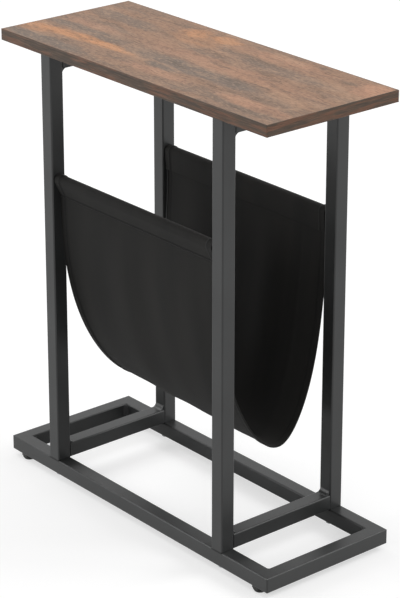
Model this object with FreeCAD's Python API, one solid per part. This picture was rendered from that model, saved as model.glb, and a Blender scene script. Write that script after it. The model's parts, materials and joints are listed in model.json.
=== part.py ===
import FreeCAD, Part
import math
import os

from FreeCAD import Vector

# Magazine side table: a narrow wood-print top on two welded end frames, bolted to a flat base frame.
# A cloth sling for magazines hangs on two rods between the end frames, and four screw feet level it.
# Millimetres. +X runs along the length, -Y is the front and +Z is up.
# The origin lies on the floor, under the middle of the table.

# Table top: a printed board with a thin band glued on each edge
table_height = 600.0
top_length = 510.0
top_overhang = 3.0
top_thickness = 15.0
band_thickness = 1.0
band_edge_radius = 0.6

# Square steel tube of both end frames and the base
tube_side = 20.0
tube_wall = 1.2
tube_corner_radius = 2.0

# Base frame
base_length = 520.0
base_depth = 200.0
ground_clearance = 8.0
base_weld_leg = 6.0
base_corner_radius = 2.0

# End frames
post_spacing = 332.0
frame_weld_leg = 6.0
weld_throat_share = 0.36

# Rods that carry the sling
rod_diameter = 10.0
rod_wall = 1.0
rod_height = 421.0
rod_reach = 13.0
rod_clearance = 0.3

# Sling: one cloth, folded back over each rod and sewn down as a sleeve
cloth_thickness = 1.6
sling_end_gap = 3.0
sling_depth = 298.5
sleeve_depth = 30.0
sleeve_clearance = 0.3
seam_inset = 4.0
seam_margin = 4.0
sling_draw_in = 9.0
sling_sway_along = 6.0
sling_sway_back = 17.0
sling_sway_power = 3
sling_arcs = 8

# Bolts that hold the posts on the base, from below
bolt_diameter = 6.0
bolt_head_diameter = 10.5
bolt_head_height = 3.3
bolt_socket_width = 4.0
bolt_socket_depth = 2.0
bolt_spare = 3.0
bolt_hole_clearance = 0.3
washer_diameter = 13.0
washer_thickness = 1.2
post_plate_thickness = 4.0
post_plate_clearance = 0.1
thread_clearance = 0.05

# Screws that hold the top on the upper cross tubes, from below
screw_diameter = 4.0
screw_head_diameter = 8.0
screw_head_height = 2.5
screw_slot_length = 4.4
screw_slot_width = 1.2
screw_slot_depth = 1.4
screw_spacing = 100.0
screw_bite = 11.0
screw_tip_room = 0.5

# Screw feet under the long base rails
foot_inset = 24.0
pad_top_diameter = 19.5
pad_bottom_diameter = 13.5
pad_edge_radius = 1.2
pad_floor = 1.7
foot_gap = 0.3
stud_diameter = 6.0
stud_tip_gap = 2.5
stud_tip_chamfer = 0.7
collar_width = 17.0
collar_height = 2.6
pivot_clearance = 0.05
foot_nut_width = 10.0
foot_nut_height = 5.0
foot_hole_clearance = 0.4
head_edge_radius = 0.8

# Cuts run past their faces by this much
cut_overrun = 1.0

# Levels and places that several pieces share
base_top = ground_clearance + tube_side
top_underside = table_height - top_thickness
top_depth = base_depth + 2 * top_overhang
post_x = post_spacing / 2
post_y = (base_depth - tube_side) / 2
post_inner_x = post_x - tube_side / 2
post_inner_y = post_y - tube_side / 2
tube_flat = tube_side - 2 * tube_corner_radius
foot_x = base_length / 2 - foot_inset
pad_height = ground_clearance - 2 * foot_gap - collar_height

X_AXIS = Vector(1, 0, 0)
Y_AXIS = Vector(0, 1, 0)
Z_AXIS = Vector(0, 0, 1)

SIDES = {"left": -1, "right": 1}
FACES = {"front": -1, "rear": 1}


def save(node, *solids):
    """Writes one node, as a single solid or as a group of separate solids."""
    shape = solids[0] if len(solids) == 1 else Part.makeCompound(solids)
    shape.exportStep(f"parts/{node}.step")


def outline_face(edges):
    return Part.Face(Part.Wire(Part.__sortEdges__(edges)))


def lines_through(points):
    """Straight edges through the points in turn."""
    return [Part.makeLine(a, b) for a, b in zip(points, points[1:])]


def arc_through(a, b, c):
    return Part.Arc(a, b, c).toShape()


def box_between(low, high):
    size = high - low
    return Part.makeBox(size.x, size.y, size.z, low)


def cylinder_up(diameter, x, y, z_low, z_high):
    return Part.makeCylinder(diameter / 2, z_high - z_low, Vector(x, y, z_low), Z_AXIS)


def hexagon_up(width, x, y, z_low, z_high):
    """A hexagonal prism, measured across its flats."""
    radius = width / math.sqrt(3)
    turns = [math.pi / 3 * i for i in range(7)]
    points = [Vector(x + radius * math.cos(t), y + radius * math.sin(t), z_low) for t in turns]
    return outline_face(lines_through(points)).extrude(Z_AXIS * (z_high - z_low))


def square_bar(side, corner_radius, length):
    """A square bar along X with rounded edges, centred on the origin."""
    bar = box_between(Vector(-length / 2, -side / 2, -side / 2), Vector(length / 2, side / 2, side / 2))
    along = [edge for edge in bar.Edges if abs(edge.tangentAt(edge.FirstParameter).x) > 0.5]
    return bar.makeFillet(corner_radius, along) if corner_radius > 0 else bar


def square_tube(length):
    """A hollow square tube along X, centred on the origin, with open ends."""
    bore = square_bar(tube_side - 2 * tube_wall, tube_corner_radius - tube_wall, length + 2 * cut_overrun)
    return square_bar(tube_side, tube_corner_radius, length).cut(bore)


def upright_tube(x, y, z_low, z_high):
    tube = square_tube(z_high - z_low)
    tube.rotate(Vector(), Y_AXIS, 90)
    return tube.translate(Vector(x, y, (z_low + z_high) / 2))


def weld_bead(corner, run, leg_one, leg_two):
    """A fillet weld in a corner: two legs on the joined faces and a hollow surface between their toes."""
    toe_one = corner + leg_one
    toe_two = corner + leg_two
    throat = corner + (leg_one + leg_two) * weld_throat_share
    edges = lines_through([toe_two, corner, toe_one]) + [arc_through(toe_one, throat, toe_two)]
    return outline_face(edges).extrude(run)


# Table top and its edge bands


def table_top():
    half_x = top_length / 2 - band_thickness
    half_y = top_depth / 2 - band_thickness
    board = box_between(Vector(-half_x, -half_y, top_underside), Vector(half_x, half_y, table_height))
    for x, y in screw_places():
        tip = top_underside + screw_bite + screw_tip_room
        pilot = cylinder_up(screw_diameter + 2 * thread_clearance, x, y, top_underside - cut_overrun, tip)
        board = board.cut(pilot)
    return board


def is_upright(edge):
    return abs(edge.tangentAt(edge.FirstParameter).z) > 0.5


def edge_band(low, high, outward, ease_ends):
    """A band on one edge of the board, with its outer arrises eased, at its ends too where they show."""
    band = box_between(low, high)
    outer = [face for face in band.Faces if (face.normalAt(0, 0) - outward).Length < 0.5][0]
    eased = [e for e in outer.Edges if ease_ends or not is_upright(e)]
    return band.makeFillet(band_edge_radius, eased)


def save_edge_bands():
    half_x = top_length / 2
    half_y = top_depth / 2
    for face, sign in FACES.items():
        near = sign * (half_y - band_thickness)
        far = sign * half_y
        low = Vector(-half_x, min(near, far), top_underside)
        high = Vector(half_x, max(near, far), table_height)
        save(f"{face}_edge_band", edge_band(low, high, Y_AXIS * sign, True))
    for side, sign in SIDES.items():
        near = sign * (half_x - band_thickness)
        far = sign * half_x
        low = Vector(min(near, far), -half_y + band_thickness, top_underside)
        high = Vector(max(near, far), half_y - band_thickness, table_height)
        save(f"{side}_edge_band", edge_band(low, high, X_AXIS * sign, False))


# End frames


def post(side_sign, face_sign):
    """An upright tube with a hole in its inner wall for the end of a sling rod."""
    x = side_sign * post_x
    y = face_sign * post_y
    tube = upright_tube(x, y, base_top, top_underside)
    hole_radius = rod_diameter / 2 + rod_clearance
    hole_length = tube_side / 2 + cut_overrun
    hole = Part.makeCylinder(hole_radius, hole_length, Vector(x, y, rod_height), X_AXIS * -side_sign)
    return tube.cut(hole)


def cross_tube(side_sign, z_low):
    tube = square_tube(2 * post_inner_y)
    tube.rotate(Vector(), Z_AXIS, 90)
    return tube.translate(Vector(side_sign * post_x, 0, z_low + tube_side / 2))


def top_cross_tube(side_sign):
    """The upper cross tube, drilled through for the screws that hold the table top."""
    z_low = top_underside - tube_side
    tube = cross_tube(side_sign, z_low)
    for x, y in screw_places():
        if x * side_sign > 0:
            diameter = screw_diameter + 2 * bolt_hole_clearance
            tube = tube.cut(cylinder_up(diameter, x, y, z_low - cut_overrun, top_underside + cut_overrun))
    return tube


def frame_welds(side_sign):
    """Beads in the four inner corners of an end frame."""
    start_x = side_sign * post_x - tube_flat / 2
    beads = []
    for face_sign in FACES.values():
        leg_in = Y_AXIS * (-face_sign * frame_weld_leg)
        for z, upward in ((base_top + tube_side, 1), (top_underside - tube_side, -1)):
            corner = Vector(start_x, face_sign * post_inner_y, z)
            beads.append(weld_bead(corner, X_AXIS * tube_flat, leg_in, Z_AXIS * (upward * frame_weld_leg)))
    return beads


def post_plates():
    """Threaded plates welded into the lower ends of the posts."""
    side = tube_side - 2 * (tube_wall + post_plate_clearance)
    plates = []
    for x, y in post_places():
        plate = square_bar(side, tube_corner_radius - tube_wall, post_plate_thickness)
        plate.rotate(Vector(), Y_AXIS, 90)
        plate.translate(Vector(x, y, base_top + post_plate_thickness / 2))
        top = base_top + post_plate_thickness
        thread = cylinder_up(bolt_diameter + 2 * thread_clearance, x, y, base_top - cut_overrun, top + cut_overrun)
        plates.append(plate.cut(thread))
    return plates


def save_end_frames():
    for side, side_sign in SIDES.items():
        for face, face_sign in FACES.items():
            save(f"{side}_{face}_post", post(side_sign, face_sign))
        save(f"{side}_bottom_cross_tube", cross_tube(side_sign, base_top))
        save(f"{side}_top_cross_tube", top_cross_tube(side_sign))
        save(f"{side}_frame_welds", *frame_welds(side_sign))
    save("post_plates", *post_plates())


# Base frame


def mitred_rail(length):
    """A tube along X at floor clearance, mitred at both ends, with its long side towards -Y."""
    z_low = -tube_side / 2
    half = length / 2
    near = -tube_side / 2
    far = tube_side / 2
    corners = [(-half, near), (half, near), (half - tube_side, far), (-half + tube_side, far), (-half, near)]
    plan = outline_face(lines_through([Vector(x, y, z_low) for x, y in corners]))
    rail = square_tube(length).common(plan.extrude(Z_AXIS * tube_side))
    return rail.Solids[0]


def rounded_corners(rail):
    """The rail with the outer upright edges of the base's corners ground round."""
    low = Vector(-base_length / 2, -base_depth / 2, ground_clearance)
    high = Vector(base_length / 2, base_depth / 2, base_top)
    outside = box_between(low, high)
    outside = outside.makeFillet(base_corner_radius, [e for e in outside.Edges if is_upright(e)])
    return rail.common(outside).Solids[0]


def long_rail(face_sign):
    """A long base rail, drilled for the two post bolts and the two feet."""
    rail = mitred_rail(base_length)
    rail.rotate(Vector(), Z_AXIS, 0 if face_sign < 0 else 180)
    rail.translate(Vector(0, face_sign * post_y, ground_clearance + tube_side / 2))
    rail = rounded_corners(rail)
    below = ground_clearance - cut_overrun
    for sign in SIDES.values():
        y = face_sign * post_y
        bolt_hole = bolt_diameter + 2 * bolt_hole_clearance
        rail = rail.cut(cylinder_up(bolt_hole, sign * post_x, y, below, base_top + cut_overrun))
        foot_hole = stud_diameter + 2 * foot_hole_clearance
        rail = rail.cut(cylinder_up(foot_hole, sign * foot_x, y, below, ground_clearance + tube_wall + cut_overrun))
    return rail


def end_rail(side_sign):
    rail = mitred_rail(base_depth)
    rail.rotate(Vector(), Z_AXIS, 90 * side_sign)
    rail.translate(Vector(side_sign * (base_length - tube_side) / 2, 0, ground_clearance + tube_side / 2))
    return rounded_corners(rail)


def base_welds():
    """Upright beads in the four inner corners of the base frame."""
    beads = []
    for x_sign in SIDES.values():
        for y_sign in FACES.values():
            corner = Vector(
                x_sign * (base_length / 2 - tube_side),
                y_sign * (base_depth / 2 - tube_side),
                ground_clearance + tube_corner_radius,
            )
            leg_x = X_AXIS * (-x_sign * base_weld_leg)
            leg_y = Y_AXIS * (-y_sign * base_weld_leg)
            beads.append(weld_bead(corner, Z_AXIS * tube_flat, leg_x, leg_y))
    return beads


def save_base():
    for face, sign in FACES.items():
        save(f"{face}_base_rail", long_rail(sign))
    for side, sign in SIDES.items():
        save(f"{side}_base_rail", end_rail(sign))
    save("base_welds", *base_welds())


# Fasteners


def post_places():
    return [(x * post_x, y * post_y) for x in SIDES.values() for y in FACES.values()]


def screw_places():
    return [(x * post_x, y * screw_spacing / 2) for x in SIDES.values() for y in FACES.values()]


def rounded_head(diameter, x, y, z_low, z_high):
    """A low round head, with its lower edge eased."""
    head = cylinder_up(diameter, x, y, z_low, z_high)
    rim = [e for e in head.Edges if e.BoundBox.ZMax - z_low < cut_overrun and e.Closed]
    return head.makeFillet(head_edge_radius, rim)


def base_washer(x, y):
    z_high = ground_clearance
    z_low = z_high - washer_thickness
    hole = cylinder_up(bolt_diameter + 2 * bolt_hole_clearance, x, y, z_low - cut_overrun, z_high + cut_overrun)
    return cylinder_up(washer_diameter, x, y, z_low, z_high).cut(hole)


def base_bolt(x, y):
    """A socket-head bolt, up through the base rail into the threaded plate of a post."""
    seat = ground_clearance - washer_thickness
    tip = base_top + post_plate_thickness + bolt_spare
    head_low = seat - bolt_head_height
    head = rounded_head(bolt_head_diameter, x, y, head_low, seat)
    socket = hexagon_up(bolt_socket_width, x, y, head_low - cut_overrun, head_low + bolt_socket_depth)
    return head.fuse(cylinder_up(bolt_diameter, x, y, seat, tip)).cut(socket)


def top_screw(x, y):
    """A cross-slotted screw, up through the upper cross tube into the table top."""
    seat = top_underside - tube_side
    head_low = seat - screw_head_height
    screw = rounded_head(screw_head_diameter, x, y, head_low, seat)
    screw = screw.fuse(cylinder_up(screw_diameter, x, y, seat, top_underside + screw_bite))
    half_long = screw_slot_length / 2
    half_wide = screw_slot_width / 2
    z_low = head_low - cut_overrun
    z_high = head_low + screw_slot_depth
    for half_x, half_y in ((half_long, half_wide), (half_wide, half_long)):
        slot = box_between(Vector(x - half_x, y - half_y, z_low), Vector(x + half_x, y + half_y, z_high))
        screw = screw.cut(slot)
    return screw


def save_fasteners():
    save("base_bolts", *[base_bolt(x, y) for x, y in post_places()])
    save("base_washers", *[base_washer(x, y) for x, y in post_places()])
    save("top_screws", *[top_screw(x, y) for x, y in screw_places()])


# Sling and its rods


def sling_rod(face_sign):
    """A thin round tube whose ends sit in the holes of two posts."""
    half = post_inner_x + rod_reach
    start = Vector(-half, face_sign * post_y, rod_height)
    bore_start = start - X_AXIS * cut_overrun
    bore = Part.makeCylinder(rod_diameter / 2 - rod_wall, 2 * (half + cut_overrun), bore_start, X_AXIS)
    return Part.makeCylinder(rod_diameter / 2, 2 * half, start, X_AXIS).cut(bore)


sleeve_bore_radius = rod_diameter / 2 + sleeve_clearance
sleeve_radius = sleeve_bore_radius + cloth_thickness
sleeve_crest = rod_height + sleeve_radius
seam_z = sleeve_crest - sleeve_depth
seam_y = post_y - seam_inset
pocket_drop = sling_depth - sleeve_depth


def profile_point(y, z):
    return Vector(0, y, z)


def tangent_point(centre, radius, outside, turn):
    """Where a line from an outside point touches a circle, on the side that turn (1 or -1) names."""
    away = outside - centre
    angle = math.atan2(away.z, away.y) + turn * math.acos(radius / away.Length)
    return centre + profile_point(radius * math.cos(angle), radius * math.sin(angle))


def pocket_edges(half_width, drop, start_angle):
    """Arcs through half an ellipse that sways back at its bottom, from the front seam to the rear one."""
    points = []
    for i in range(2 * sling_arcs + 1):
        angle = start_angle + (math.pi - 2 * start_angle) * i / (2 * sling_arcs)
        lower_share = math.sin(angle)
        y = -half_width * math.cos(angle) + sling_sway_back * lower_share**sling_sway_power
        points.append(profile_point(y, seam_z - drop * lower_share))
    return points, [arc_through(*points[i : i + 3]) for i in range(0, 2 * sling_arcs, 2)]


def sleeve_edges(face_sign, outer_end, inner_end):
    """The outside of one sleeve: up from the panel, over the rod and down to the folded-back edge."""
    centre = profile_point(face_sign * post_y, rod_height)
    outer_touch = tangent_point(centre, sleeve_radius, outer_end, face_sign)
    inner_touch = tangent_point(centre, sleeve_radius, inner_end, -face_sign)
    crest = centre + Z_AXIS * sleeve_radius
    arcs = []
    for touch in (outer_touch, inner_touch):
        middle = ((touch - centre) + (crest - centre)).normalize() * sleeve_radius
        arcs.append(arc_through(touch, centre + middle, crest))
    return [Part.makeLine(outer_end, outer_touch), *arcs, Part.makeLine(inner_touch, inner_end)]


def sleeve_bore(face_sign):
    """The drop-shaped space inside a sleeve, from the seam up round the rod."""
    centre = profile_point(face_sign * post_y, rod_height)
    seam = profile_point(face_sign * seam_y, seam_z)
    touches = [tangent_point(centre, sleeve_bore_radius, seam, turn) for turn in (-1, 1)]
    top = centre + (centre - seam).normalize() * sleeve_bore_radius
    edges = []
    for touch in touches:
        middle = ((touch - centre) + (top - centre)).normalize() * sleeve_bore_radius
        edges += [Part.makeLine(seam, touch), arc_through(touch, centre + middle, top)]
    return outline_face(edges)


def sling_profile():
    """The sling's section across the table: a hanging pocket with a sleeve at each upper edge."""
    inner_start = math.asin(seam_margin / pocket_drop)
    inner_points, inner_edges = pocket_edges(seam_y, pocket_drop - cloth_thickness, inner_start)
    outer_points, outer_edges = pocket_edges(seam_y + cloth_thickness, pocket_drop, 0)
    edges = inner_edges + outer_edges
    ends = {-1: (outer_points[0], inner_points[0]), 1: (outer_points[-1], inner_points[-1])}
    for face_sign, (outer_end, pocket_end) in ends.items():
        fold_end = pocket_end - Y_AXIS * (face_sign * cloth_thickness)
        edges += sleeve_edges(face_sign, outer_end, fold_end)
        edges.append(Part.makeLine(fold_end, pocket_end))
    face = outline_face(edges)
    for face_sign in FACES.values():
        face = face.cut(sleeve_bore(face_sign))
    return face


def sling_side(side_sign):
    """One side line of the cloth, seen from the front, as the points of an arc from crest to bottom."""
    top_x = side_sign * (post_inner_x - sling_end_gap)
    low_x = top_x - side_sign * sling_draw_in + sling_sway_along
    low_z = sleeve_crest - sling_depth - cut_overrun
    high_z = sleeve_crest + cut_overrun
    middle_x = top_x + (low_x - top_x) / 4
    return Vector(top_x, 0, high_z), Vector(middle_x, 0, (low_z + high_z) / 2), Vector(low_x, 0, low_z)


def magazine_sling():
    """The pocket profile run along the table, trimmed by the drawn-in side lines of the cloth."""
    run = 2 * post_inner_x
    cloth = sling_profile().extrude(X_AXIS * run)
    cloth.translate(X_AXIS * -post_inner_x)
    left = sling_side(-1)
    right = sling_side(1)
    edges = [arc_through(*left), arc_through(*right)]
    edges += [Part.makeLine(left[0], right[0]), Part.makeLine(left[2], right[2])]
    front_view = outline_face(edges).extrude(Y_AXIS * base_depth)
    front_view.translate(Y_AXIS * (-base_depth / 2))
    return cloth.common(front_view).Solids[0]


def save_sling():
    for face, sign in FACES.items():
        save(f"{face}_sling_rod", sling_rod(sign))
    save("magazine_sling", magazine_sling())


# Screw feet


def foot_pad(x, y):
    """A tapered pad, wider at the top, with a blind bore in which the stud turns."""
    pad = Part.makeCone(pad_bottom_diameter / 2, pad_top_diameter / 2, pad_height, Vector(x, y, 0), Z_AXIS)
    rims = [e for e in pad.Edges if e.Closed]
    pad = pad.makeFillet(pad_edge_radius, rims)
    bore = cylinder_up(stud_diameter + 2 * pivot_clearance, x, y, pad_floor, pad_height + cut_overrun)
    return pad.cut(bore)


def foot_stud(x, y):
    """A threaded stud with a wide hexagon collar to turn it by, and a plain end that turns in the pad."""
    collar_low = pad_height + foot_gap
    collar_high = collar_low + collar_height
    tip = base_top - tube_wall - stud_tip_gap
    shank = cylinder_up(stud_diameter, x, y, collar_high, tip)
    rim = [e for e in shank.Edges if e.Closed and e.BoundBox.ZMin > tip - stud_tip_chamfer]
    shank = shank.makeChamfer(stud_tip_chamfer, rim)
    collar = hexagon_up(collar_width, x, y, collar_low, collar_high)
    pivot = cylinder_up(stud_diameter, x, y, pad_floor + foot_gap, collar_low)
    return collar.fuse([shank, pivot])


def foot_nut(x, y):
    """A nut welded inside the base rail, which the stud screws through."""
    z_low = ground_clearance + tube_wall
    z_high = z_low + foot_nut_height
    thread = cylinder_up(stud_diameter + 2 * thread_clearance, x, y, z_low - cut_overrun, z_high + cut_overrun)
    return hexagon_up(foot_nut_width, x, y, z_low, z_high).cut(thread)


def save_feet():
    nuts = []
    for face, face_sign in FACES.items():
        for side, side_sign in SIDES.items():
            x = side_sign * foot_x
            y = face_sign * post_y
            save(f"{face}_{side}_foot_pad", foot_pad(x, y))
            save(f"{face}_{side}_foot_stud", foot_stud(x, y))
            nuts.append(foot_nut(x, y))
    save("foot_nuts", *nuts)


os.makedirs("parts", exist_ok=True)
save("table_top", table_top())
save_edge_bands()
save_end_frames()
save_base()
save_fasteners()
save_sling()
save_feet()
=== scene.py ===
# %% [markdown]
# # A narrow side table with a hanging magazine sling
# The steel frame, the board and the screws come ready made from the imported CAD model, in metres.
# What is left for Blender is the finish of every surface and the cloth sling, which the CAD model
# holds only as a plain solid. The model is loaded first. The dressed table has to stay inside it.

# %% Load the imported model
import json
import math

import bmesh
import bpy
import numpy as np
from mathutils import Matrix, Vector


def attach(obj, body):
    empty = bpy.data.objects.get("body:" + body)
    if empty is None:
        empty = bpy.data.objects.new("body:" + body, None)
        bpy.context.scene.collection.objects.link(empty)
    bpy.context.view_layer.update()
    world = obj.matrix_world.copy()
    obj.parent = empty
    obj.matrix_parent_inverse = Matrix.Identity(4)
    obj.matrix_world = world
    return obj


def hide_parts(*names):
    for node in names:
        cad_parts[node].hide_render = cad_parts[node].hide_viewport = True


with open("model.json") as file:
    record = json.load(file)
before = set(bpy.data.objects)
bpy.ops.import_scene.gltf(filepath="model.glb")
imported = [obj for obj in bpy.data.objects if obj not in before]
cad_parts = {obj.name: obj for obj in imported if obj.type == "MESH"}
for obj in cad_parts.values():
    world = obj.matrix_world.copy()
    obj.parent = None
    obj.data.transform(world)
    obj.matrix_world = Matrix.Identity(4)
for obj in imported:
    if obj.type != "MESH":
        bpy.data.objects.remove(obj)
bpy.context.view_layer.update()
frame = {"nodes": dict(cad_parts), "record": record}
scene = bpy.context.scene
mm = 0.001

# %% [markdown]
# # Helpers for the finishes
# Every finish below is a tree of shader nodes. A node could be made by hand each time, but then each
# setting and each link needs a line of its own. One function does all of it: an input that is given
# a socket is linked, and one that is given a value is set. Colours are written as they look on a
# screen, and another function turns them into the linear numbers that the renderer works with.

# %% Colours


def linear(hex_colour):
    """The linear colour of an sRGB hex value such as 8a7a6c."""
    parts = [int(hex_colour[i : i + 2], 16) / 255 for i in (0, 2, 4)]
    return [x / 12.92 if x <= 0.04045 else ((x + 0.055) / 1.055) ** 2.4 for x in parts] + [1.0]


print("a screen's 808080 in linear light:", round(linear("808080")[0], 3))

# %% Nodes


def fill(tree, node, inputs):
    """Links the inputs that are given a socket and sets the others. A hex colour is made linear."""
    for name, value in dict(inputs).items():
        if isinstance(value, bpy.types.NodeSocket):
            tree.links.new(value, node.inputs[name])
        else:
            node.inputs[name].default_value = linear(value) if isinstance(value, str) else value


def add(tree, kind, inputs=(), stops=(), **settings):
    """Adds one node with its settings, its inputs and, on a colour ramp, its stops."""
    node = tree.nodes.new("ShaderNode" + kind)
    for name, value in settings.items():
        setattr(node, name, value)
    for i, (place, colour) in enumerate(stops):
        if i == len(node.color_ramp.elements):
            node.color_ramp.elements.new(1.0)
        node.color_ramp.elements[i].position = place
        node.color_ramp.elements[i].color = linear(colour)
    fill(tree, node, inputs)
    return node


def start_material(name):
    """A new material with its tree and its shader."""
    material = bpy.data.materials.new(name)
    material.use_nodes = True
    return material, material.node_tree, material.node_tree.nodes["Principled BSDF"]


print("helpers ready:", ", ".join(helper.__name__ for helper in (linear, fill, add, start_material)))

# %% [markdown]
# # The camera
# The photograph is a product picture from above the right front corner. Its upright lines stay
# nearly parallel, which a camera gives when it stands far off and its lens is shifted, as on a view
# camera. The numbers come from matching the corners of the top, the base and the posts in an image
# of 400 by 598 pixels. The sensor's width spans the image's long side.

# %% Camera
image_height = 598
focal_pixels = 2422.5
lens_axis_row = 200
camera_azimuth = math.radians(50.098)
camera_elevation = math.radians(20.091)
camera_distance = 3.0504
camera_target = Vector((-0.0196, 0.0291, 0.4032))

camera_data = bpy.data.cameras.new("product_camera")
camera_data.lens = focal_pixels / image_height * camera_data.sensor_width
camera_data.shift_y = (lens_axis_row - image_height / 2) / image_height
camera = bpy.data.objects.new("product_camera", camera_data)
scene.collection.objects.link(camera)
away = Vector(
    (
        math.sin(camera_azimuth) * math.cos(camera_elevation),
        -math.cos(camera_azimuth) * math.cos(camera_elevation),
        math.sin(camera_elevation),
    )
)
camera.location = camera_target + away * camera_distance
camera.rotation_euler = away.to_track_quat("Z", "Y").to_euler()
scene.camera = camera
print("lens in mm:", round(camera_data.lens, 1), "shift:", round(camera_data.shift_y, 3))

# %% [markdown]
# # White surroundings
# A product picture is taken on white paper. A dark satin frame mostly shows what it reflects, so the
# white all round does as much for it as the lamps do. The background could be made white with more
# light, but that would wash out the table. So the sky lights the table at a plain level, and only
# rays from the camera, from mirrors and through glass see it as white.

# %% White sky
sky_light = 0.5


def white_rays(tree):
    """1 for the rays that see a white background: from the camera, from mirrors and through glass."""
    rays = add(tree, "LightPath").outputs
    white = rays["Is Camera Ray"]
    for kind in ("Is Glossy Ray", "Is Transmission Ray"):
        white = add(tree, "Math", {0: white, 1: rays[kind]}, operation="MAXIMUM").outputs[0]
    return white


scene.view_settings.view_transform = "Standard"
world = bpy.data.worlds.new("white_studio")
world.use_nodes = True
scene.world = world
sky = world.node_tree
sky.nodes.clear()
lighting = add(sky, "Background", {"Color": "ffffff", "Strength": sky_light})
white = add(sky, "Background", {"Color": "ffffff", "Strength": 1.0})
shown = add(sky, "MixShader", {0: white_rays(sky), 1: lighting.outputs[0], 2: white.outputs[0]})
add(sky, "OutputWorld", {"Surface": shown.outputs[0]})
print("sky lights the table at", sky_light, "and is seen as white")

# %% [markdown]
# # Floor paper
# The floor is a wide sheet of pale matt paper, which takes the table's shadow. For the same rays it
# is lifted towards white, and further off it is lifted more, because the lamps don't reach there.
# That way it runs out into the sky with no horizon. Between the base rails the paper lies in the
# shade of the table, and the tubes next to it mirror that shade. So for mirrors it is lifted less
# there.

# %% Paper lifted towards white
near_lift, far_lift = 0.56, 0.72
lift_starts, lift_ends = 0.8, 3.5

# Gives the eye an even white that darkens softly where the table shades it
paper, tree, shader = start_material("white_paper_sheet")
coords = add(tree, "TexCoord").outputs["Object"]
distance = add(tree, "VectorMath", {0: coords}, operation="LENGTH").outputs["Value"]
rise = {"From Min": lift_starts, "From Max": lift_ends, "To Min": near_lift, "To Max": far_lift}
rise = add(tree, "MapRange", {"Value": distance, **rise}).outputs["Result"]
lift = add(tree, "Math", {0: white_rays(tree), 1: rise}, operation="MULTIPLY").outputs[0]
print("paper lifted by", near_lift, "near the table and by", far_lift, "far off")

# %% Shade that the tubes mirror
base_middle = Vector((0, 0, 0))
base_half = Vector((260, 100, 1000)) * mm
# The shade fades out from just inside the rails to just outside, in parts of the base's half size
shade_inside, shade_outside = 0.9, 1.05
shaded_share = 0.2


def block_reach(tree, coords, middle, half):
    """0 in the middle of a block, 1 on its faces. The block is mirrored about the table's middle."""
    offset = add(tree, "VectorMath", {0: coords}, operation="ABSOLUTE").outputs[0]
    offset = add(tree, "VectorMath", {0: offset, 1: middle}, operation="SUBTRACT").outputs[0]
    offset = add(tree, "VectorMath", {0: offset}, operation="ABSOLUTE").outputs[0]
    offset = add(tree, "VectorMath", {0: offset, 1: half}, operation="DIVIDE").outputs[0]
    offset = add(tree, "SeparateXYZ", {0: offset}).outputs
    reach = add(tree, "Math", {0: offset["X"], 1: offset["Y"]}, operation="MAXIMUM").outputs[0]
    return add(tree, "Math", {0: reach, 1: offset["Z"]}, operation="MAXIMUM").outputs[0]


reach = block_reach(tree, coords, base_middle, base_half)
shade = {"From Min": shade_inside, "From Max": shade_outside, "To Min": shaded_share, "To Max": 1.0}
shade = add(tree, "MapRange", {"Value": reach, **shade}).outputs["Result"]
mirrored = add(tree, "LightPath").outputs["Is Glossy Ray"]
shade = add(tree, "Mix", {0: mirrored, 2: 1.0, 3: shade}).outputs[0]
lift = add(tree, "Math", {0: lift, 1: shade}, operation="MULTIPLY").outputs[0]
fill(tree, shader, {"Base Color": "c4c4c4", "Emission Color": "ffffff", "Emission Strength": lift})
fill(tree, shader, {"Roughness": 1.0, "Specular IOR Level": 0.0})
print("made", paper.name)

# %% Floor sheet
paper_size = 12.0

sheet = bmesh.new()
bmesh.ops.create_grid(sheet, x_segments=1, y_segments=1, size=paper_size / 2)
paper_mesh = bpy.data.meshes.new("floor_paper")
sheet.to_mesh(paper_mesh)
sheet.free()
paper_mesh.materials.append(paper)
floor = bpy.data.objects.new("floor_paper", paper_mesh)
scene.collection.objects.link(floor)
print("floor:", paper_size, "m of paper")

# %% [markdown]
# # Soft lamps
# Small bright lamps would leave hard lines on the tubes, so four large softboxes stand round the
# table. The key box is low in front on the left and lights the front faces. The box above the left
# end gives the board its tone. The two on the right, one behind and one beside, light the end faces.

# %% Lamps
# Each lamp: its place and the side of its square in metres, and its power in watts
lamps = {
    "key_softbox": ((-1.5, -2.3, 1.1), 1.4, 24.0),
    "left_top_softbox": ((-1.7, -0.2, 2.2), 1.2, 15.0),
    "rear_right_softbox": ((1.2, 1.6, 2.0), 1.2, 22.0),
    "side_softbox": ((2.4, 0.9, 0.9), 1.2, 9.0),
}
lamp_aim = Vector((0.0, 0.0, 0.35))

for name, (place, side, watts) in lamps.items():
    lamp_data = bpy.data.lights.new(name, "AREA")
    lamp_data.size = side
    lamp_data.energy = watts
    lamp = bpy.data.objects.new(name, lamp_data)
    lamp.location = place
    lamp.rotation_euler = (Vector(place) - lamp_aim).to_track_quat("Z", "Y").to_euler()
    scene.collection.objects.link(lamp)
print("lamps:", ", ".join(lamps))

# %% [markdown]
# # Powder-coated steel
# The tubes are welded mild steel, sprayed with dark grey polyester powder and baked. The powder
# melts into an even satin skin with a fine orange peel, a little uneven in gloss. The coat is a
# plastic over the metal, so it isn't metallic and has an index of 1.5. The peel is about 1.5 mm
# across, which is just large enough to soften the highlights along the rounded tube edges. Each post
# stands on the rounded edge of a base rail, and the thin gap in that joint lies in shadow. The gap is
# too thin to model, so its shadow is painted there as a fine dark line, drawn by its place.

# %% Powder coat
peel_size = 1.5 * mm
cloud_size = 90 * mm

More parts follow.
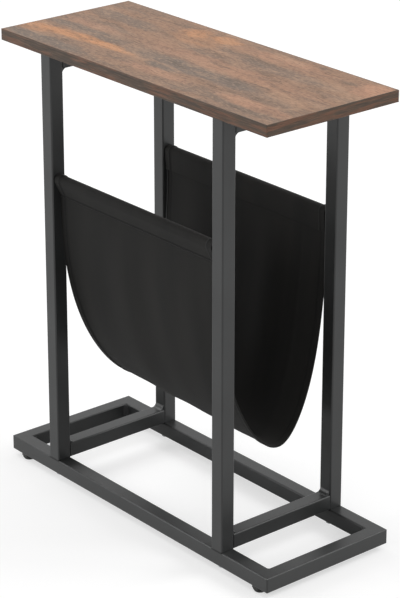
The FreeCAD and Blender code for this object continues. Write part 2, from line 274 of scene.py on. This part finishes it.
# Gives the eye an even dark grey with long soft highlights, a little restless close by
powder_coat, tree, shader = start_material("powder_coated_steel_dark_grey_satin")
coords = add(tree, "TexCoord").outputs["Object"]
clouds = add(tree, "TexNoise", {"Vector": coords, "Scale": 1 / cloud_size, "Detail": 3.0})
peel = add(tree, "TexNoise", {"Vector": coords, "Scale": 1 / peel_size, "Detail": 2.0}).outputs["Fac"]
tone = add(tree, "ValToRGB", {"Fac": clouds.outputs["Fac"]}, [(0.3, "2a2b2b"), (0.7, "333434")])
satin = {"From Min": 0.3, "From Max": 0.7, "To Min": 0.3, "To Max": 0.42}
gloss = add(tree, "MapRange", {"Value": peel, **satin})
dimples = add(tree, "Bump", {"Height": peel, "Strength": 0.12, "Distance": 0.15 * mm})
fill(tree, shader, {"Specular IOR Level": 0.42, "Normal": dimples.outputs["Normal"]})
print("made", powder_coat.name)

# %% Painted shadow in the joint under the posts
joint_shade_middle = Vector((166, 90, 27.6)) * mm
joint_shade_half = Vector((10.3, 10.3, 1.6)) * mm

# The four posts mirror one another, so one block stands for all of their joints
reach = block_reach(tree, coords, joint_shade_middle, joint_shade_half)
joint_shade = add(tree, "MapRange", {"Value": reach, "From Min": 1.0, "From Max": 0.85}).outputs["Result"]
# Painted shadow of the gap: near black, metallic and fully rough, so it sends almost no light back
colour = {0: joint_shade, 6: tone.outputs["Color"], 7: "030303"}
colour = add(tree, "Mix", colour, data_type="RGBA").outputs[2]
rough = add(tree, "Mix", {0: joint_shade, 2: gloss.outputs["Result"], 3: 1.0}).outputs[0]
fill(tree, shader, {"Base Color": colour, "Metallic": joint_shade, "Roughness": rough})
print("joint line", round(2 * joint_shade_half.z / mm, 1), "mm high under each post")

# %% [markdown]
# # Wood-print board
# The top is particle board under a printed melamine skin. The print is of weathered timber: tan wood
# that has greyed in long clouds, with rust-orange and faded stains, blotches the size of a fingertip
# and fine fibres. Noise that is squeezed across the grain gives the blotches and the fibres, each
# from its real length and width. The stains and clouds that show from afar are listed one by one,
# because chance would put them anywhere, and bent by noise so that their outlines wander.

# %% Stains and clouds of the print
# Each one: its middle along and across the top, its half length and half width in mm, and its strength
rust_stains = [
    (-120, -46, 85, 12, 1.0),
    (-190, -54, 75, 15, 0.9),
    (-238, -62, 40, 16, 0.7),
    (-78, 72, 30, 24, 0.7),
    (-32, 78, 30, 18, 0.75),
    (-52, 52, 50, 22, 0.35),
]
faded_stains = [
    (245, 74, 40, 34, 1.0),
    (190, -66, 90, 15, 0.7),
    (-195, -4, 90, 13, 0.5),
    (20, -72, 80, 13, 0.6),
    (90, 75, 120, 18, 0.6),
    (60, 2, 230, 24, 0.5),
]
greyed_clouds = [
    (50, -31, 170, 24, 0.9),
    (-175, -26, 120, 15, 0.8),
    (-185, -90, 120, 18, 0.9),
    (-190, 44, 100, 18, 0.7),
    (120, 44, 120, 18, 0.6),
    (5, -52, 45, 12, 0.9),
]
print("stains:", len(rust_stains) + len(faded_stains), "grey clouds:", len(greyed_clouds))

# %% Grain of the print


def grain(tree, coords, length, width, shift, detail=5.0):
    """Noise drawn out along the grain, from the real length and width of its largest marks."""
    drawn = {"Scale": (1 / length, 1 / width, 1 / width), "Location": [shift] * 3}
    drawn = add(tree, "Mapping", {"Vector": coords, **drawn}).outputs[0]
    marks = {"Vector": drawn, "Scale": 1.0, "Detail": detail, "Roughness": 0.65}
    return add(tree, "TexNoise", marks).outputs["Fac"]


wander_length, wander_width = 36 * mm, 18 * mm
wander_reach = (44 * mm, 18 * mm, 0.0)

# Gives the eye warm and grey timber with no relief to feel, under a dull even sheen
wood_board, tree, shader = start_material("melamine_wood_print_weathered_satin")
coords = add(tree, "TexCoord").outputs["Object"]
wander = {"Vector": coords, "Scale": (1 / wander_length, 1 / wander_width, 1 / wander_width)}
wander = add(tree, "Mapping", wander).outputs[0]
wander = add(tree, "TexNoise", {"Vector": wander, "Scale": 1.0, "Detail": 5.0}).outputs["Color"]
wander = add(tree, "VectorMath", {0: wander, 1: (0.5, 0.5, 0.5)}, operation="SUBTRACT").outputs[0]
wander = add(tree, "VectorMath", {0: wander, 1: wander_reach}, operation="MULTIPLY").outputs[0]
bent = add(tree, "VectorMath", {0: coords, 1: wander}).outputs[0]

drift = grain(tree, bent, 190 * mm, 30 * mm, 3.7)
blotches = grain(tree, bent, 50 * mm, 16 * mm, 7.1, 9.0)
flecks = grain(tree, coords, 7 * mm, 3.0 * mm, 2.9)
fibres = grain(tree, bent, 40 * mm, 1.2 * mm, 5.7, 3.0)
print("grain drawn in four sizes, from 190 mm drifts to fibres 1.2 mm wide")

# %% Placed clouds and one arched vein
top_z = 600 * mm


def cloud_cover(tree, coords, clouds):
    """The share that a list of clouds covers, each a soft oval on the top."""
    cover = 0.0
    for x, y, half_length, half_width, strength in clouds:
        oval = {"Location": (x * mm, y * mm, top_z), "Scale": (half_length * mm, half_width * mm, 1.0)}
        oval = add(tree, "Mapping", {"Vector": coords, **oval}, vector_type="TEXTURE").outputs[0]
        oval = add(tree, "TexGradient", {"Vector": oval}, gradient_type="SPHERICAL").outputs["Fac"]
        soft = {"Value": oval, "From Min": 0.05, "From Max": 0.5, "To Max": strength}
        soft = add(tree, "MapRange", soft).outputs["Result"]
        cover = add(tree, "Math", {0: cover, 1: soft}, operation="MAXIMUM").outputs[0]
    return cover


arch = {"Location": (70 * mm, -38 * mm, top_z), "Scale": (160 * mm, 34 * mm, 1.0)}
arch = add(tree, "Mapping", {"Vector": bent, **arch}, vector_type="TEXTURE").outputs[0]
arch = add(tree, "VectorMath", {0: arch}, operation="LENGTH").outputs["Value"]
off_arch = add(tree, "Math", {0: arch, 1: 1.0}, operation="SUBTRACT").outputs[0]
off_arch = add(tree, "Math", {0: off_arch}, operation="ABSOLUTE").outputs[0]
vein = {"Value": off_arch, "From Min": 0.06, "From Max": 0.01, "To Max": 0.25}
vein = add(tree, "MapRange", vein).outputs["Result"]
along = add(tree, "SeparateXYZ", {0: coords}).outputs["X"]
right_end = {"Value": along, "From Min": 120 * mm, "From Max": 160 * mm}
right_end = add(tree, "MapRange", right_end).outputs["Result"]
vein = add(tree, "Math", {0: vein, 1: right_end}, operation="MULTIPLY").outputs[0]
print("vein placed at the right end")

# %% Inks of the print, one over another


def overlaid(tree, colour, layers):
    """Lays colours over a first one. Each layer has a pattern, the pattern's values where the layer is
    bare and where it is full, the most that it covers, and its colour."""
    for pattern, bare, full, most, layer in layers:
        share = {"Value": pattern, "From Min": bare, "From Max": full, "To Max": most}
        share = add(tree, "MapRange", share).outputs["Result"]
        colour = add(tree, "Mix", {0: share, 6: colour, 7: layer}, data_type="RGBA").outputs[2]
    return colour


inks = [
    (drift, 0.42, 0.66, 0.7, "7a6b5f"),
    (cloud_cover(tree, bent, greyed_clouds), 0.0, 1.0, 1.0, "786a5f"),
    (cloud_cover(tree, bent, faded_stains), 0.0, 1.0, 1.0, "b98b70"),
    (cloud_cover(tree, bent, rust_stains), 0.0, 1.0, 1.0, "cb9166"),
    (blotches, 0.52, 0.74, 0.8, "5f5145"),
    (blotches, 0.48, 0.28, 0.6, "bf9a7e"),
    (flecks, 0.52, 0.74, 0.75, "57473c"),
    (flecks, 0.48, 0.26, 0.62, "c4a186"),
    (fibres, 0.54, 0.75, 0.5, "4c3b31"),
    (vein, 0.0, 1.0, 1.0, "c9a283"),
]
timber = overlaid(tree, "9d7a62", inks)
sheen = {"Value": fibres, "From Min": 0.3, "From Max": 0.7, "To Min": 0.52, "To Max": 0.64}
sheen = add(tree, "MapRange", sheen)
pressed = add(tree, "Bump", {"Height": fibres, "Strength": 0.1, "Distance": 0.1 * mm})
fill(tree, shader, {"Base Color": timber, "Roughness": sheen.outputs["Result"]})
fill(tree, shader, {"Specular IOR Level": 0.3, "Normal": pressed.outputs["Normal"]})
print("made", wood_board.name, "from", len(inks), "inks")

# %% [markdown]
# # Edge bands
# A printed plastic strip a millimetre thick is glued round the board. Its print is a darker walnut
# with reddish streaks and tight straight grain, and it runs along each edge. So the bands of the two
# short ends take the same print turned by a quarter. The eased arris catches the light as a thin
# paler line, and the shape gives that by itself.

# %% Wood print for the edge bands


def band_print(name, turn):
    """The dark edge print, with its grain turned about the upright axis."""
    # Gives the eye dark walnut with a tight straight grain, shinier than the board
    material, tree, shader = start_material(name)
    coords = add(tree, "TexCoord").outputs["Object"]
    coords = add(tree, "Mapping", {"Vector": coords, "Rotation": (0, 0, turn)}).outputs[0]
    streaks = grain(tree, coords, 60 * mm, 5 * mm, 5.3)
    lines = grain(tree, coords, 22 * mm, 1.1 * mm, 1.1, 3.0)
    walnut = [(0.3, "382a1f"), (0.47, "4a3929"), (0.6, "6a452f"), (0.72, "4b3727")]
    colour = add(tree, "ValToRGB", {"Fac": streaks}, walnut).outputs["Color"]
    colour = overlaid(tree, colour, [(lines, 0.5, 0.7, 0.7, "2a1f19"), (lines, 0.46, 0.3, 0.4, "7d5d4a")])
    sheen = {"Value": lines, "From Min": 0.3, "From Max": 0.7, "To Min": 0.46, "To Max": 0.58}
    sheen = add(tree, "MapRange", sheen)
    pressed = add(tree, "Bump", {"Height": lines, "Strength": 0.15, "Distance": 0.1 * mm})
    fill(tree, shader, {"Base Color": colour, "Roughness": sheen.outputs["Result"]})
    fill(tree, shader, {"Specular IOR Level": 0.4, "Normal": pressed.outputs["Normal"]})
    return material


band_long = band_print("pvc_edge_band_walnut_print_long", 0.0)
band_short = band_print("pvc_edge_band_walnut_print_short", math.pi / 2)
print("made", band_long.name, "and", band_short.name)

# %% [markdown]
# # Small metal and plastic
# Bolts, washers, screws and nuts are zinc plated, a thin bright metal with a grey mottle from the
# bath. The foot studs are plated black. The foot pads are moulded from black plastic, which copies
# a fine spark-eroded grain from its mould. These pieces sit in shade under the table, so a tone and
# a gloss that vary a little are enough to make each read as what it is, and one loop makes all three.

# %% Zinc plate, black plate and moulded plastic
# Each finish: its dark and pale colour, metallic or not, least and most roughness, and mottle in mm
small_finishes = {
    # Gives the eye a cool bright grey with cloudy reflections
    "zinc_plated_steel_bright": ("9a9da0", "c4c6c8", 1.0, 0.28, 0.42, 2.0),
    # Gives the eye a black that still shines a little on its edges
    "zinc_plated_steel_black": ("141414", "20201f", 0.0, 0.35, 0.5, 1.5),
    # Gives the eye a dull black with no clear reflection
    "moulded_plastic_black_fine_grain": ("101010", "1a1a19", 0.0, 0.55, 0.7, 0.8),
}
small_materials = {}
for name, (dark, pale, metal, smooth, rough, mottle_size) in small_finishes.items():
    material, tree, shader = start_material(name)
    coords = add(tree, "TexCoord").outputs["Object"]
    mottle = {"Vector": coords, "Scale": 1 / (mottle_size * mm), "Detail": 3.0}
    mottle = add(tree, "TexNoise", mottle).outputs["Fac"]
    tone = add(tree, "ValToRGB", {"Fac": mottle}, [(0.3, dark), (0.7, pale)])
    gloss = {"Value": mottle, "From Min": 0.3, "From Max": 0.7, "To Min": smooth, "To Max": rough}
    gloss = add(tree, "MapRange", gloss)
    pits = add(tree, "Bump", {"Height": mottle, "Strength": 0.1, "Distance": 0.1 * mm})
    fill(tree, shader, {"Base Color": tone.outputs["Color"], "Roughness": gloss.outputs["Result"]})
    fill(tree, shader, {"Metallic": metal, "Normal": pits.outputs["Normal"]})
    small_materials[name] = material
print("made", ", ".join(small_materials))

# %% [markdown]
# # Dressing the CAD pieces
# The record says which finish each piece has, so the materials go on by that list, and a piece that
# is added to the CAD model later is dressed too. A CAD mesh is left as it is, and only the material
# in its slots changes.

# %% Finishes by slot
finishes = {
    "wood_print_board": wood_board,
    "wood_print_band": band_long,
    "frame_coat": powder_coat,
    "plated_steel": small_materials["zinc_plated_steel_bright"],
    "blackened_steel": small_materials["zinc_plated_steel_black"],
    "foot_plastic": small_materials["moulded_plastic_black_fine_grain"],
}


def dress(piece, material):
    """Puts one material in all slots of a piece."""
    if not piece.material_slots:
        piece.data.materials.append(material)
    for place in piece.material_slots:
        place.material = material


dressed = [part for part in frame["record"]["subparts"] if part["material_slot"] in finishes]
for part in dressed:
    dress(frame["nodes"][part["node"]], finishes[part["material_slot"]])
for node in ("left_edge_band", "right_edge_band"):
    dress(frame["nodes"][node], band_short)
print("dressed", len(dressed), "CAD pieces")

# %% [markdown]
# # How the sling hangs
# One length of cloth is folded back over a rod on each side and sewn down as a sleeve, and what lies
# between the two seams hangs as a deep pocket. A cloth simulation could drop it, but the photograph
# shows exactly how deep and how round it hangs. So its line is drawn, as it is seen from the end: up
# from the folded edge, over the front rod, down to the seam, round the pocket, and up over the rear
# rod in the same way. The pocket is half an ellipse, but its flanks are pinched in and it sways to
# the rear. The line is measured along the cloth, so that flat cloth can be laid on it.

# %% Sleeve over the rear rod
rod_y, rod_z = 90 * mm, 421 * mm
sleeve_radius = 6.1 * mm
sleeve_points = 25
seam_y, seam_z = 86.8 * mm, 400.0 * mm
fold_gap = 1.5 * mm
fold_margin = 4 * mm


def touch_angle(y, z, side):
    """The angle on the rod's circle where a line from a point touches it. Side 1 is anticlockwise."""
    reach = math.hypot(y - rod_y, z - rod_z)
    return math.atan2(z - rod_z, y - rod_y) + side * math.acos(sleeve_radius / reach)


def rear_sleeve():
    """Points from the rear seam up outside the rod, over it and down inside to the folded edge."""
    fold_y = seam_y - fold_gap
    start = touch_angle(seam_y, seam_z, 1)
    end = touch_angle(fold_y, seam_z, -1) + 2 * math.pi
    turns = np.linspace(start, end, sleeve_points)
    arc = [(rod_y + sleeve_radius * math.cos(t), rod_z + sleeve_radius * math.sin(t)) for t in turns]
    return arc + [(fold_y, seam_z), (fold_y, seam_z - fold_margin)]


print("sleeve:", round((rod_z + sleeve_radius - seam_z) / mm, 1), "mm from its crest to its seam")

# %% Pocket and the whole hang line
pocket_drop = 269.8 * mm
pocket_points = 121
sway_back, sway_power = 17 * mm, 3
front_pinch, rear_pinch, pinch_power = 8 * mm, 15 * mm, 6


def pocket():
    """Points round the pocket, from the front seam to the rear one."""
    points = []
    for turn in np.linspace(0.0, math.pi, pocket_points):
        across, lower = -math.cos(turn), math.sin(turn)
        pinch = rear_pinch if across > 0 else front_pinch
        y = seam_y * across + sway_back * lower**sway_power - pinch * across * lower**pinch_power
        points.append((y, seam_z - pocket_drop * lower))
    return points


rear = rear_sleeve()
front = [(-y, z) for y, z in reversed(rear)]
hang_points = np.array(front + pocket() + rear)
steps = np.linalg.norm(np.diff(hang_points, axis=0), axis=1)
hang_lengths = np.concatenate([[0.0], np.cumsum(steps)])
cloth_length = float(hang_lengths[-1])
front_seam = float(hang_lengths[len(front)])
rear_seam = cloth_length - front_seam
print("cloth length in mm:", round(cloth_length / mm, 1), "seam at:", round(front_seam / mm, 1))

# %% [markdown]
# # Laying the flat cloth on that line
# The cloth starts as the flat rectangle that it was cut to, and each of its points is carried to
# where it hangs. The sides are drawn in towards the bottom, as slack cloth does. Soft upright waves
# run down the two panels, the rear one has a broad fold and a fine crease, and along each row of
# stitches the cloth is pressed outward, which leaves a groove on its inner face. All of that is a
# small lift off the hang line, counted into the pocket.

# %% Place on the line and side edges
# The line's direction is read between two points this far before and after
probe = 0.6 * mm
crest_z = 427.9 * mm
sling_depth, draw_power = 298.5 * mm, 4
top_left, low_left = -155 * mm, -140 * mm
top_right, low_right = 153 * mm, 150 * mm
hung_width = top_right - top_left


def line_point(length):
    """The point of the hang line after this length of cloth."""
    return np.array([np.interp(length, hang_lengths, hang_points[:, axis]) for axis in (0, 1)])


def on_line(length):
    """That point, and the direction from there into the pocket or the sleeve."""
    run = line_point(length + probe) - line_point(length - probe)
    run /= np.linalg.norm(run)
    return line_point(length), (-run[1], run[0])


def sides(z):
    """Where the left and right edges of the cloth lie along the table at this height."""
    drawn = max(0.0, (crest_z - z) / sling_depth) ** draw_power
    return top_left + (low_left - top_left) * drawn, top_right + (low_right - top_right) * drawn


print("cloth hangs", round(hung_width / mm), "mm wide at its crest")

# %% Waves, fold, crease and grooves
wave_height = 0.8 * mm
broad_wave, narrow_wave, wave_drift = 19 * mm, 11 * mm, 110 * mm
fold_height, fold_x, fold_half_width = 7 * mm, 62 * mm, 40 * mm
crease_height, crease_x, crease_half_width = 0.8 * mm, 108 * mm, 3.5 * mm
seam_groove, seam_half_width = 1.2 * mm, 1.3 * mm
hem_groove, hem_half_width, hem_width = 0.35 * mm, 1.0 * mm, 9 * mm


def bell(distance, half_width):
    """1 in the middle of a soft mark, falling to nothing on both sides."""
    return math.exp(-((distance / half_width) ** 2))


def soft_waves(x, y):
    """Shallow upright waves of two widths that don't repeat together."""
    return math.sin(x / broad_wave + 0.6) + 0.7 * math.sin(x / narrow_wave + 2.1 + y / wave_drift)


def lift_off(x, y, lower, length, from_edge):
    """How far a point stands off the line. Lower runs from 0 at the seams to 1 at the bottom."""
    # The waves start below the seams and calm down towards the bottom
    lift = wave_height * soft_waves(x, y) * min(1.0, 3 * lower) * (1 - 0.6 * lower)
    # The fold and the crease are strongest halfway down the rear panel
    hang = 4 * lower * (1 - lower) * max(0.0, min(1.0, y / seam_y))
    lift += hang * fold_height * bell(x - fold_x, fold_half_width)
    lift -= hang * crease_height * bell(x - crease_x, crease_half_width)
    for seam in (front_seam, rear_seam):
        lift -= seam_groove * bell(length - seam, seam_half_width)
    return lift - hem_groove * bell(from_edge - hem_width, hem_half_width)


print("deepest groove in mm:", seam_groove / mm, "highest fold in mm:", fold_height / mm)

# %% Where a point of the cloth hangs
end_tilt, tilt_power = 2 * mm, 3


def hung(share, length):
    """The place of a point of the cloth: its share of the width from the left, and its length along."""
    (y, z), inward = on_line(length)
    left, right = sides(z)
    x = left + (right - left) * share
    lower = max(0.0, (seam_z - z) / pocket_drop)
    tilt = end_tilt * (1 - 2 * share)
    y, z = y + tilt * lower**tilt_power, z + tilt * lower
    lift = lift_off(x, y, lower, length, min(x - left, right - x))
    return Vector((x, y + inward[0] * lift, z + inward[1] * lift))


print("bottom of the pocket in mm:", [round(c / mm, 1) for c in hung(0.5, cloth_length / 2)])

# %% [markdown]
# # Black woven cloth
# The sling is heavy polyester in a plain weave, black with a faint warm cast. Each thread passes
# over one and under the next, so the surface is a fine chequer of small rounded bumps, with painted
# shade in the hollows between them. The weave follows the cut of the cloth, and so reads the cloth's
# own map, laid out in metres of flat cloth.
# Soft bands along the length come from the way such cloth is rolled and steamed. Along a row of
# stitches the cloth is creased and lies in shade, and that shade is painted darker into its colour.

# %% Plain weave
# The real threads are about 0.5 mm apart, too fine for the picture, so they are drawn coarser
thread_spacing = 1.3 * mm

# Gives the eye a deep matt black that is never quite even
cloth, tree, shader = start_material("polyester_plain_weave_black")
flat = add(tree, "UVMap", uv_map="flat_cut").outputs["UV"]
threads = add(tree, "Mapping", {"Vector": flat, "Scale": [1 / thread_spacing] * 3}).outputs[0]
chequer = {"Vector": threads, "Scale": 1.0, "Color1": "ffffff", "Color2": "000000"}
over = add(tree, "TexChecker", chequer).outputs["Fac"]
split = add(tree, "SeparateXYZ", {0: threads})
crowns = []
for axis in ("X", "Y"):
    turn = add(tree, "Math", {0: split.outputs[axis], 1: math.pi}, operation="MULTIPLY").outputs[0]
    wave = add(tree, "Math", {0: turn}, operation="SINE").outputs[0]
    crowns.append(add(tree, "Math", {0: wave}, operation="ABSOLUTE").outputs[0])
weave = add(tree, "Mix", {0: over, 2: crowns[0], 3: crowns[1]}).outputs[0]
relief = add(tree, "Bump", {"Height": weave, "Strength": 0.35, "Distance": 0.25 * mm})
print("weave drawn at", thread_spacing / mm, "mm")

# %% Bands and shaded seams of the cloth
band_width, band_length = 34 * mm, 272 * mm
hem_shade, seam_shade, shade_core = 1.3 * mm, 2.2 * mm, 0.5 * mm

bands = {"Vector": flat, "Scale": (1 / band_width, 1 / band_length, 1.0)}
bands = add(tree, "Mapping", bands).outputs[0]
bands = add(tree, "TexNoise", {"Vector": bands, "Scale": 1.0, "Detail": 4.0})
tone = add(tree, "ValToRGB", {"Fac": bands.outputs["Fac"]}, [(0.3, "181817"), (0.7, "22211f")])
# Painted shade: the hollows between the thread crowns are drawn darker
layers = [(weave, 1.0, 0.0, 0.45, "0c0c0c")]
cut = add(tree, "SeparateXYZ", {0: flat})
# Painted shade along the rows of stitches at the hems and at the seams
sewn_rows = [
    ("X", hung_width / 2, hung_width / 2 - hem_width, hem_shade),
    ("Y", cloth_length / 2, cloth_length / 2 - front_seam, seam_shade),
]
# Folding the cut twice about its middle leaves the distance from the nearer of two rows of stitches
for axis, middle, row, reach in sewn_rows:
    offset = cut.outputs[axis]
    for fold in (middle, row):
        offset = add(tree, "Math", {0: offset, 1: fold}, operation="SUBTRACT").outputs[0]
        offset = add(tree, "Math", {0: offset}, operation="ABSOLUTE").outputs[0]
    layers.append((offset, reach, shade_core, 0.85, "060606"))
colour = overlaid(tree, tone.outputs["Color"], layers)
fill(tree, shader, {"Base Color": colour, "Normal": relief.outputs["Normal"], "Roughness": 0.8})
fill(tree, shader, {"Specular IOR Level": 0.22, "Sheen Weight": 0.04, "Sheen Roughness": 0.4})
print("made", cloth.name, "with", len(sewn_rows), "pairs of shaded seams")

# %% [markdown]
# # Sewing thread
# The seams are sewn with spun polyester thread, black like the cloth but smoother. A thread could be
# a curve with its own twist, but a stitch is a pixel long here, so mottle at the size of the twist
# is enough.

# %% Thread
twist_size = 0.6 * mm

# Gives the eye short glints, a little paler than the cloth
thread, tree, shader = start_material("spun_polyester_thread_black")
coords = add(tree, "TexCoord").outputs["Object"]
twist = add(tree, "TexNoise", {"Vector": coords, "Scale": 1 / twist_size, "Detail": 2.0})
tone = add(tree, "ValToRGB", {"Fac": twist.outputs["Fac"]}, [(0.3, "1a1918"), (0.7, "2a2928")])
fill(tree, shader, {"Base Color": tone.outputs["Color"], "Roughness": 0.6, "Specular IOR Level": 0.3})
print("made", thread.name)

# %% [markdown]
# # The cut cloth
# The cloth starts as a flat grid. Even faces fine enough for the seams would be far too many, so the
# rows are closest at the seams and the columns in the hems, where the cloth bends most. Each point
# keeps its place on the flat cut as its map, and then goes where it hangs.

# %% Rows and columns
near_seam = 4 * mm
seam_step, sleeve_step, pocket_step = 0.6 * mm, 1.6 * mm, 5 * mm
hem_step, panel_step = 1.2 * mm, 3.2 * mm


def spaced(places, gaps):
    """Even steps from each place to the next, no longer than the gap given for that stretch."""
    steps = []
    for low, high, gap in zip(places, places[1:], gaps):
        count = math.ceil((high - low) / gap)
        steps += [low + (high - low) * i / count for i in range(count)]
    return steps + [places[-1]]


row_places = [0.0, front_seam - near_seam, front_seam + near_seam]
row_places += [rear_seam - near_seam, rear_seam + near_seam, cloth_length]
rows = spaced(row_places, [sleeve_step, seam_step, pocket_step, seam_step, sleeve_step])
edge = (hem_width + near_seam) / hung_width
column_gaps = [hem_step / hung_width, panel_step / hung_width, hem_step / hung_width]
shares = spaced([0.0, edge, 1 - edge, 1.0], column_gaps)
print("rows:", len(rows), "columns:", len(shares))

# %% Cloth sheet
shape = bmesh.new()
bmesh.ops.create_grid(shape, x_segments=len(shares) - 1, y_segments=len(rows) - 1, size=0.5)
cut_map = shape.loops.layers.uv.new("flat_cut")
flat_place = {}
for vert in shape.verts:
    column = round((vert.co.x + 0.5) * (len(shares) - 1))
    row = round((vert.co.y + 0.5) * (len(rows) - 1))
    flat_place[vert] = (shares[column], rows[row])
for face in shape.faces:
    for loop in face.loops:
        share, length = flat_place[loop.vert]
        loop[cut_map].uv = (share * hung_width, length)
for vert, (share, length) in flat_place.items():
    vert.co = hung(share, length)
sling_mesh = bpy.data.meshes.new("sling_cloth")
shape.to_mesh(sling_mesh)
shape.free()
sling_mesh.shade_smooth()
sling_mesh.materials.append(cloth)
sling = bpy.data.objects.new("sling_cloth", sling_mesh)
scene.collection.objects.link(sling)
print("cloth:", len(sling_mesh.polygons), "faces")

# %% [markdown]
# # Thickness and hems
# The cloth is a good millimetre thick, and the turned hems at its two sides are double. Solidify
# gives both: a vertex group says how much of the full thickness each point has. A small bevel then
# rounds the folded edges, so that they catch a line of light.

# %% Solid cloth
cloth_thickness = 1.1 * mm
hem_thickness = 1.8 * mm
hem_slope = 2.5 * mm
edge_rounding = 0.4 * mm
edge_angle = math.radians(60)

group = sling.vertex_groups.new(name="hem")
for vert in sling_mesh.vertices:
    left, right = sides(vert.co.z)
    from_edge = min(vert.co.x - left, right - vert.co.x)
    double = max(0.0, min(1.0, (hem_width + hem_slope - from_edge) / hem_slope))
    thickness = cloth_thickness + double * (hem_thickness - cloth_thickness)
    group.add([vert.index], thickness / hem_thickness, "REPLACE")
thicken = sling.modifiers.new("cloth_thickness", "SOLIDIFY")
thicken.thickness = hem_thickness
thicken.offset = -1.0
thicken.vertex_group = "hem"
rounded = sling.modifiers.new("folded_edges", "BEVEL")
rounded.width = edge_rounding
rounded.segments = 2
rounded.limit_method = "ANGLE"
rounded.angle_limit = edge_angle
print("cloth thickness in mm:", cloth_thickness / mm, "hem:", hem_thickness / mm)

# %% [markdown]
# # Stitches
# The seams are lockstitched, so a row of short stitches shows on both faces of the cloth. Each is a
# small rounded grain of thread, a stretched ball of a few faces, turned along its row and pressed
# half into the cloth. They are made in one mesh, since they are hundreds of the same shape.

# %% Places of the stitches
stitch_pitch = 3.2 * mm
stitch_size = Vector((2.5, 0.75, 0.5)) * mm
# A row starts one and a half stitches in from the edge and ends about as far from the other edge
first_stitch, left_off = 1.5, 2
share_step, length_step = 0.002, 0.5 * mm


def stitch_place(share, length, next_share, next_length, depth):
    """Where one stitch lies: along its row, flat on the cloth and this deep from its inner face."""
    here = hung(share, length)
    ahead = (hung(next_share, next_length) - here).normalized()
    beside = hung(share + share_step, length) - here
    down = hung(share, length + length_step) - here
    inward = beside.cross(down).normalized()
    turned = Matrix((ahead, inward.cross(ahead), inward)).transposed().to_4x4()
    return Matrix.Translation(here - inward * depth) @ turned @ Matrix.Diagonal((*stitch_size, 1.0))


pitch_share, hem_share = stitch_pitch / hung_width, hem_width / hung_width
seam_count = int(hung_width / stitch_pitch) - left_off
hem_count = int((rear_seam - front_seam) / stitch_pitch) - left_off
places = []
for depth in (0.0, cloth_thickness):
    for seam in (front_seam, rear_seam):
        for i in range(seam_count):
            share = (i + first_stitch) * pitch_share
            places.append(stitch_place(share, seam, share + pitch_share / 2, seam, depth))
    for share in (hem_share, 1 - hem_share):
        for i in range(hem_count):
            length = front_seam + (i + first_stitch) * stitch_pitch
            places.append(stitch_place(share, length, share, length + stitch_pitch / 2, depth))
print("stitches:", len(places), "in steps of", stitch_pitch / mm, "mm")

# %% Rows of stitches
one_stitch = bmesh.new()
bmesh.ops.create_uvsphere(one_stitch, u_segments=6, v_segments=4, radius=0.5)
pattern = bpy.data.meshes.new("one_stitch")
one_stitch.to_mesh(pattern)
one_stitch.free()
all_stitches = bmesh.new()
for place in places:
    pattern.transform(place)
    all_stitches.from_mesh(pattern)
    pattern.transform(place.inverted())
bpy.data.meshes.remove(pattern)
stitch_mesh = bpy.data.meshes.new("sling_stitches")
all_stitches.to_mesh(stitch_mesh)
all_stitches.free()
stitch_mesh.shade_smooth()
stitch_mesh.materials.append(thread)
stitches = bpy.data.objects.new("sling_stitches", stitch_mesh)
scene.collection.objects.link(stitches)
print("stitch mesh:", len(stitch_mesh.polygons), "faces")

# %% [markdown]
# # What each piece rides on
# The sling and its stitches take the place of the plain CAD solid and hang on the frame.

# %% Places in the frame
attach(sling, "frame")
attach(stitches, "frame")
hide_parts("magazine_sling")
